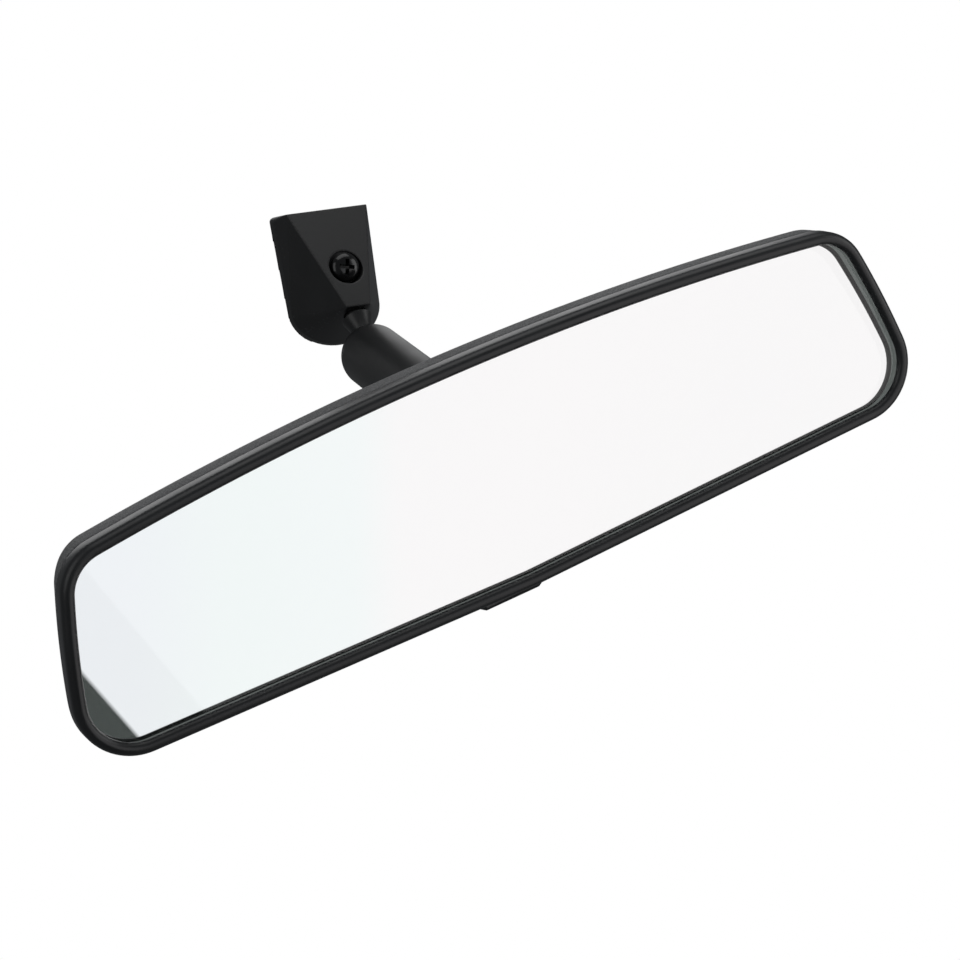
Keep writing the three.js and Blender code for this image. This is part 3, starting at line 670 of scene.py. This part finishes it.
# ---------- windshield mount ----------
MOUNT_HALF_W = 15.1
MOUNT_LOW_HALF_W = 14.4
MOUNT_TOP = 21.0
MOUNT_CORNER_R = 1.6
MOUNT_LOW_CENTRE = -8  # height where the rounded lower end begins
MOUNT_LOW_RISE = 11.4
RIM_T = 2.6
RIM_DRAFT = 0.4
PLATEAU_TOP = (12.6, -9.4, 20.3)
PLATEAU_LOW = (3.6, -22.0, -10.0)
CHANNEL = ((-8.4, 0.5), (-10.4, -6.2), (10.4, -6.2), (8.4, 0.5))
CHANNEL_Z = (-22, 8)
SCREW_Z = 2.0
WELL = (5.0, -24, -14.3)  # radius, and depths from front to floor
CLEARANCE_HOLE = (2.3, -16, -5)
STUD_BORE = (3.3, 12.9, 24.3)  # radius, and distances from the ball centre
CAST_VOXEL = 0.22


def mount_outline(inset):
    """Outline in x and z: straight top with small corners, rounded lower end."""
    half, low_half = MOUNT_HALF_W - inset, MOUNT_LOW_HALF_W - inset
    r, top = MOUNT_CORNER_R, MOUNT_TOP - inset
    out = []
    for centre_x, start in ((-half + r, 180), (half - r, 90)):
        for i in range(7):
            a = math.radians(start - 15 * i)
            out.append((centre_x + r * math.cos(a), top - r + r * math.sin(a)))
    for i in range(33):
        a = -math.pi * i / 32
        drop = (MOUNT_LOW_RISE - inset) * math.sin(a)
        out.append((low_half * math.cos(a), MOUNT_LOW_CENTRE + drop))
    return out


def mount_hull():
    """Convex hull of the back outline, the rim and the corners of the plateau."""
    work = bmesh.new()
    for x, z in mount_outline(0):
        work.verts.new((x, 0, z))
    for x, z in mount_outline(RIM_DRAFT):
        work.verts.new((x, -RIM_T, z))
    for side in (-1, 1):
        for x, y, z in (PLATEAU_TOP, PLATEAU_LOW):
            work.verts.new((side * x, y, z))
    result = bmesh.ops.convex_hull(work, input=work.verts)
    spare = result["geom_interior"] + result["geom_unused"]
    loose = list({g for g in spare if isinstance(g, bmesh.types.BMVert)})
    bmesh.ops.delete(work, geom=loose, context="VERTS")
    work.verts.ensure_lookup_table()
    work.verts.index_update()
    points = [tuple(v.co) for v in work.verts]
    faces = [tuple(v.index for v in f.verts) for f in work.faces]
    work.free()
    return points, faces


def make_mount():
    points, faces = mount_hull()
    item = make_object("mount_casting", points, faces, MOUNT, ["cast"])
    # This turn puts the deep side of the cutter behind the casting, so it cuts only 0.5 mm.
    # The CAD channel is 6.2 mm deep, from z -8 to the top: -90 degrees would match it.
    channel_place = MOUNT @ Matrix.Rotation(math.radians(90), 4, "X")
    screw_line = MOUNT @ Matrix.Translation((0, 0, SCREW_Z))
    cut(
        item,
        prism("channel", CHANNEL, *CHANNEL_Z, channel_place, "cast"),
        rod("well", *WELL, screw_line, "cast"),
        rod("hole", *CLEARANCE_HOLE, screw_line, "cast"),
        rod("hole", *STUD_BORE, UPPER_STUD, "cast"),
    )
    soften(item, CAST_VOXEL, 3)
    smooth(item, 60)
    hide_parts("mount_base")
    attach(item, "base")


# ---------- clamp screw ----------
HEAD_FRONT = -18.3
HEAD_H = 2.8
HEAD_R = 4.3
DOME_H = 1.9
SHANK_R = 2.0
TIP = -6.3
WING = (2.6, 0.62)  # half length and half width of a cross wing at its mouth
WING_DEEP = (1.3, 0.45)
WING_Y = (-0.3, 2.3)
CROSS_TURN = 12


def cross_wing(place):
    """Tapered cutter for one arm of the cross recess."""
    def rectangle(half_x, half_z):
        return [(-half_x, -half_z), (half_x, -half_z), (half_x, half_z), (-half_x, half_z)]

    mouth, deep = (HEAD_FRONT + y for y in WING_Y)
    points = [(x, mouth, z) for x, z in rectangle(*WING)]
    points += [(x, deep, z) for x, z in rectangle(*WING_DEEP)]
    faces = [(0, 1, 2, 3), (7, 6, 5, 4)]
    faces += [(i, (i + 1) % 4, 4 + (i + 1) % 4, 4 + i) for i in range(4)]
    return make_object("cross", points, faces, place, ["screw"])


def make_screw():
    back = HEAD_FRONT + HEAD_H
    dome = corner_arc(0, HEAD_FRONT + DOME_H, HEAD_R, DOME_H, 270, 360, 10)
    profile = [(max(r, 0), h) for r, h in dome]
    profile += [(HEAD_R, back - 0.15), (HEAD_R - 0.15, back), (SHANK_R, back)]
    profile += [(SHANK_R, TIP - 0.6), (SHANK_R - 0.6, TIP), (0, TIP)]
    line = MOUNT @ Matrix.Translation((0, 0, SCREW_Z))
    item = lathe("pan_screw", profile, line, "screw", 64)
    tools = []
    for turn in (CROSS_TURN, CROSS_TURN + 90):
        tools.append(cross_wing(line @ Matrix.Rotation(math.radians(turn), 4, "Y")))
    cut(item, *tools)
    smooth(item, 35)
    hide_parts("clamp_screw")
    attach(item, "screw")


# ---------- arm and ball studs ----------
BALL_R = 6.0
WAIST_R = 2.45
NECK_R = 3.1
COLLAR_R = 4.5
FLANGE_R = 5.5
TAIL_R = 3.0
TUBE_R = 9.25
BORE_R = 7.65
LIP_R = 6.3
MOUTH = 64.0  # degrees from the axis, where the outside of the tube ends at the ball
LIP_END = 78.0  # degrees, where the rolled lip ends inside


def stud_profile(tail):
    """Ball, hollow neck and then the given tail, as radius and height."""
    waist = math.degrees(math.asin(WAIST_R / BALL_R))
    ball = [(r, -h) for r, h in arc(BALL_R, 0, 0, 180 - waist, 24)]
    neck = [(2.5, 6.2), (2.7, 7.4), (2.95, 8.7), (NECK_R, 9.6)]
    return ball + neck + tail


def make_studs():
    tail = [
        (COLLAR_R - 0.12, 13.6), (COLLAR_R, 13.8), (COLLAR_R - 0.15, 14.0),
        (TAIL_R, 14.0), (TAIL_R, 23.4), (TAIL_R - 0.6, 24.0), (0, 24.0),
    ]
    upper = lathe("upper_stud", stud_profile(tail), UPPER_STUD, "cast", 64)
    smooth(upper, 40)
    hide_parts("upper_ball_stud")
    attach(upper, "base")
    tail = [
        (NECK_R, 15.9), (FLANGE_R - 0.2, 15.9), (FLANGE_R, 16.1), (FLANGE_R, 17.7),
        (FLANGE_R - 0.2, 17.9), (TAIL_R, 17.9), (TAIL_R, 21.8), (TAIL_R - 0.3, 22.0), (0, 22.0),
    ]
    line = along(LOWER_BALL, HEAD_TURN @ Vector((0, -1, 0)))
    lower = lathe("lower_stud", stud_profile(tail), line, "steel", 64)
    smooth(lower, 40)
    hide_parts("lower_ball_stud")
    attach(lower, "lower_stud")


def make_tube():
    mouth = math.radians(MOUTH)
    edge_r, edge_h = TUBE_R * math.sin(mouth), TUBE_R * math.cos(mouth)
    end = arc(TUBE_R, 0, 90, MOUTH + 2.5, 14)
    end += [(edge_r - 0.08, edge_h - 0.08), (edge_r - 0.5, edge_h - 0.22)]
    end += arc(LIP_R, 0, MOUTH, LIP_END, 6)
    end.append((BORE_R, LIP_R * math.cos(math.radians(LIP_END))))
    profile = [(r, ARM_LENGTH + h) for r, h in end] + [(r, -h) for r, h in end][::-1]
    profile.append(profile[0])
    item = lathe("arm_sleeve", profile, ARM, "tube", 96)
    smooth(item, 40)
    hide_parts("arm_tube")
    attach(item, "arm")


# ---------- day/night lever ----------
LEVER_PIVOT = (0, 13, -20)
LEVER_LEAN = math.radians(12)
LEVER_TIP = 20.4
LEVER_HALF_T = 1.2
TAB_HALF_W = 10.5
TAB_X = -2.2  # the finger tab lies a little to one side of the pivot
STEM_HALF_W = 6.6
HUB_R = 3.2
HUB_HALF_W = 7.1
BORE_R_LEVER = 1.4
CHEEK_T = 2.0
CHEEK_TOP = 7.8
NOSE_R = 1.3
NOSE_Z = 6.4
GROOVE_R = 0.35
GROOVE_Y = -1.35
GROOVE_PITCH = 1.1


def tab_outline():
    left, right = TAB_X - TAB_HALF_W, TAB_X + TAB_HALF_W
    return [
        (left + 2.2, -LEVER_TIP), (right - 2.2, -LEVER_TIP),
        (right, -LEVER_TIP + 1.6), (right, -LEVER_TIP + 4.5),
        (STEM_HALF_W, -LEVER_TIP + 7), (STEM_HALF_W, 0),
        (-STEM_HALF_W, 0), (-STEM_HALF_W, -LEVER_TIP + 7),
        (left, -LEVER_TIP + 4.5), (left, -LEVER_TIP + 1.6),
    ]


def make_lever():
    pivot = HEAD @ Matrix.Translation(LEVER_PIVOT) @ Matrix.Rotation(LEVER_LEAN, 4, "X")
    axle = cross_place(pivot, 0, 0, 0)
    item = prism("toggle_tab", tab_outline(), -LEVER_HALF_T, LEVER_HALF_T, pivot, "bezel")
    round_edges(item, 0.35, 3)
    cut(item, rod("hub", HUB_R, -HUB_HALF_W, HUB_HALF_W, axle, "bezel"), operation="UNION")
    for side in (-1, 1):
        x0, x1 = sorted((side * (STEM_HALF_W - CHEEK_T), side * STEM_HALF_W))
        cheek = box("cheek", (x0, -1.5, 0), (x1, 1.5, CHEEK_TOP), pivot, "bezel")
        cut(item, cheek, operation="UNION")
    nose_line = cross_place(pivot, 0, 0, NOSE_Z)
    cut(item, rod("nose", NOSE_R, -5, 5, nose_line, "bezel"), operation="UNION")
    cut(item, rod("bore", BORE_R_LEVER, -20, 20, axle, "bezel"))
    for k in range(3):
        line = cross_place(pivot, 0, GROOVE_Y, -LEVER_TIP + 1.6 + GROOVE_PITCH * k)
        cut(item, rod("groove", GROOVE_R, TAB_X - 8, TAB_X + 8, line, "bezel", 16))
    smooth(item, 35)
    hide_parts("day_night_lever")
    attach(item, "lever")


make_mount()
make_screw()
make_studs()
make_tube()
make_lever()


# ---------- studio ----------
def glow(name, colour):
    """Plain even light, the same from every side."""
    material = bpy.data.materials.new(name)
    material.use_nodes = True
    tree = material.node_tree
    tree.nodes.remove(tree.nodes["Principled BSDF"])
    emit = tree.nodes.new("ShaderNodeEmission")
    emit.inputs["Color"].default_value = (*colour, 1)
    tree.links.new(emit.outputs[0], tree.nodes["Material Output"].inputs["Surface"])
    return material


CARD_HALF = (0.75, 0.55)
CARD_REACH = 0.9  # metres from the glass
# stops along the card: place, colour
CARD_STOPS = (
    (0.575, (1.015, 0.982, 0.990)),
    (0.600, (0.965, 0.986, 0.990)),
    (0.645, (0.948, 0.978, 0.978)),
    (0.700, (0.930, 0.938, 0.972)),
)
CARD_END = (0.3361, 0.0212)  # a point on the slanting end of the paper, metres from its middle
CARD_END_NORMAL = (0.745, -0.667)
CARD_END_SOFT = 0.0028  # width of the soft edge, metres
CLOTH_BLACK, LINT_GREY = (0.032, 0.039, 0.035), (0.30, 0.33, 0.31)


def card_paper():
    """Lit paper, neutral to faintly blue along its length; dark dusty cloth past its end."""
    material = bpy.data.materials.new("card_paper")
    material.use_nodes = True
    tree = material.node_tree
    tree.nodes.remove(tree.nodes["Principled BSDF"])
    place = tree.nodes.new("ShaderNodeTexCoord").outputs["UV"]
    split = tree.nodes.new("ShaderNodeSeparateXYZ")
    tree.links.new(place, split.inputs[0])
    ramp = tree.nodes.new("ShaderNodeValToRGB")
    ramp.color_ramp.interpolation = "EASE"
    while len(ramp.color_ramp.elements) < len(CARD_STOPS):
        ramp.color_ramp.elements.new(0.5)
    for element, (spot, colour) in zip(ramp.color_ramp.elements, CARD_STOPS):
        element.position = spot
        element.color = (*colour, 1)
    tree.links.new(split.outputs["X"], ramp.inputs["Fac"])
    # signed distance past the slanting end, in metres
    dot = tree.nodes.new("ShaderNodeVectorMath")
    dot.operation = "DOT_PRODUCT"
    tree.links.new(place, dot.inputs[0])
    slope = (2 * CARD_HALF[0] * CARD_END_NORMAL[0], 2 * CARD_HALF[1] * CARD_END_NORMAL[1])
    dot.inputs[1].default_value = (*slope, 0)
    at_line = (
        CARD_END_NORMAL[0] * (CARD_HALF[0] + CARD_END[0])
        + CARD_END_NORMAL[1] * (CARD_HALF[1] + CARD_END[1])
    )
    past = spread(tree, dot.outputs["Value"], 0, 1, at_line, at_line + CARD_END_SOFT)
    lint = noise(tree, place, 2600, 1)
    cloth = tint(tree, spread(tree, lint, 0, 1, 0.66, 0.74), CLOTH_BLACK, LINT_GREY)
    mix = tree.nodes.new("ShaderNodeMix")
    mix.data_type = "RGBA"
    tree.links.new(past, mix.inputs["Factor"])
    tree.links.new(ramp.outputs["Color"], mix.inputs["A"])
    tree.links.new(cloth, mix.inputs["B"])
    emit = tree.nodes.new("ShaderNodeEmission")
    tree.links.new(mix.outputs["Result"], emit.inputs["Color"])
    tree.links.new(emit.outputs[0], tree.nodes["Material Output"].inputs["Surface"])
    return material


def sheet(name, centre, right, up, half_w, half_h, material):
    """Flat rectangle, metres."""
    corners = [centre + right * sx * half_w + up * sy * half_h
               for sx, sy in ((-1, -1), (1, -1), (1, 1), (-1, 1))]
    mesh = bpy.data.meshes.new(name)
    mesh.from_pydata([tuple(c) for c in corners], [], [(0, 1, 2, 3)])
    mesh.materials.append(material)
    layer = mesh.uv_layers.new(name="paper")
    for loop, spot in zip(layer.data, ((0, 0), (1, 0), (1, 1), (0, 1))):
        loop.uv = spot
    item = bpy.data.objects.new(name, mesh)
    bpy.context.collection.objects.link(item)
    return item


LIGHT_AIM = (0, -0.08, -0.05)
# name, place, width, height, power
LIGHTS = (
    ("top_box", (0.1, -0.35, 0.9), 1.0, 0.7, 2.7),
    ("right_box", (0.9, -0.6, 0.1), 0.5, 0.9, 2.2),
    ("left_box", (-0.9, -0.5, 0.25), 0.6, 0.9, 1.6),
    ("back_box", (0.2, 0.9, 0.5), 0.9, 0.6, 2),
)
WORLD_GREY = (0.13, 0.135, 0.14)


def area_light(name, at, width, height, power):
    data = bpy.data.lights.new(name, "AREA")
    data.shape = "RECTANGLE"
    data.size, data.size_y = width, height
    data.energy = power
    item = bpy.data.objects.new(name, data)
    bpy.context.collection.objects.link(item)
    item.location = at
    item.rotation_mode = "QUATERNION"
    item.rotation_quaternion = (Vector(LIGHT_AIM) - Vector(at)).to_track_quat("-Z", "Y")


def make_card():
    """Paper that the mirror looks at from the chosen side; the camera itself never sees it."""
    glass_at = HEAD @ Vector((0, GLASS_FRONT, 0)) * MM
    normal = HEAD_TURN @ Vector((0, -1, 0))
    look = (glass_at - CAMERA_AT).normalized()
    bounce = (look - 2 * look.dot(normal) * normal).normalized()
    right = bounce.cross(Vector((0, 0, 1))).normalized()
    up = right.cross(bounce)
    centre = glass_at + bounce * CARD_REACH
    card = sheet("card", centre, right, up, *CARD_HALF, card_paper())
    card.visible_camera = False
    card.visible_diffuse = False


def make_studio():
    scene = bpy.context.scene
    scene.view_settings.view_transform = "Standard"
    world = bpy.data.worlds.new("studio")
    world.use_nodes = True
    world.node_tree.nodes["Background"].inputs["Color"].default_value = (*WORLD_GREY, 1)
    scene.world = world
    # pale floor and far wall, seen by the camera only, so that they stay plain white
    white = glow("stage_white", (1, 1, 1))
    x_axis, y_axis, z_axis = Vector((1, 0, 0)), Vector((0, 1, 0)), Vector((0, 0, 1))
    floor = sheet("floor", Vector((0, 0, -0.45)), x_axis, y_axis, 6, 6, white)
    wall = sheet("wall", Vector((0, 5.9, 2.0)), x_axis, z_axis, 6, 4, white)
    for item in (floor, wall):
        item.visible_diffuse = False
        item.visible_glossy = False
        item.visible_transmission = False
        item.visible_shadow = False
    make_card()
    for light in LIGHTS:
        area_light(*light)


make_studio()
